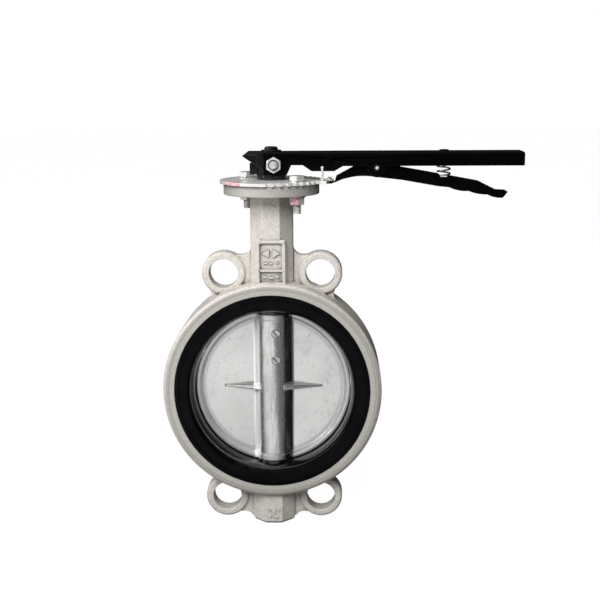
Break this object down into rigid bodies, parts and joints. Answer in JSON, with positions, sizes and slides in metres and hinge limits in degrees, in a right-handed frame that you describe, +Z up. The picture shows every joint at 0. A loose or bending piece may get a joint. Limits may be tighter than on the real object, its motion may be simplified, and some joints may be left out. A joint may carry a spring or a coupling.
{
  "type": "butterfly valve",
  "caption": "Lever-operated wafer butterfly valve: eared cast body, rubber-lined bore, turning disc on a one-piece stem, notched plate and a latching hand lever.",
  "frame": {"origin": "centre of the bore, on the middle plane between the two sealing faces", "axes": "+Z up along the stem, +Y along the pipe, +X towards the lever's grip while the disc is closed"},
  "size_m": [0.3385, 0.1025, 0.3647],
  "materials": {
    "cast_body": "sand-blasted stainless casting",
    "rubber": "glossy black rubber",
    "disc_steel": "polished stainless casting",
    "machined_steel": "machined",
    "bushing": "sliding bronze",
    "zinc_plate": "bright zinc plated",
    "zinc_screw": "bright zinc plated",
    "black_cast": "satin black paint on a casting",
    "black_gloss": "gloss black enamel on pressed sheet",
    "bright_pin": "bright",
    "spring_steel": "bright spring wire"
  },
  "bodies": {
    "valve_body": {"body": "cast_body", "seat": "rubber", "stem_seal_rings": "rubber", "thrust_washer": "machined_steel", "upper_bushing": "bushing", "middle_bushing": "bushing", "lower_bushing": "bushing", "notch_plate": "zinc_plate", "stop_pins": "zinc_plate", "plate_screws": "zinc_screw", "plate_washers": "zinc_screw", "plate_nuts": "zinc_screw"},
    "drive": {"stem": "machined_steel", "disc": "disc_steel", "disc_pins": "machined_steel", "retaining_ring": "machined_steel", "lever_hub": "black_cast", "lever": "black_gloss", "spacer_rivet": "black_gloss", "trigger_pin": "bright_pin", "clamp_screw": "zinc_screw", "lock_nut": "zinc_screw", "top_washer": "black_cast", "top_screw": "black_cast", "return_spring": "spring_steel", "spring_rivet": "black_gloss"},
    "squeeze_trigger": {"trigger": "black_gloss", "latch_tooth": "zinc_plate", "latch_rivet": "zinc_plate"}
  },
  "joints": [
    {"name": "lever_turn", "type": "hinge", "parent": "valve_body", "child": "drive", "pos_m": [0, 0, 0.1], "axis": [0, 0, 1], "range_deg": [0, 90]},
    {"name": "trigger_squeeze", "type": "hinge", "parent": "drive", "child": "squeeze_trigger", "pos_m": [0.0985, 0, 0.2105], "axis": [0, -1, 0], "range_deg": [0, 6], "stiffness_Nm_per_rad": 6, "springref_deg": -5.73, "deforming": ["return_spring"]}
  ]
}
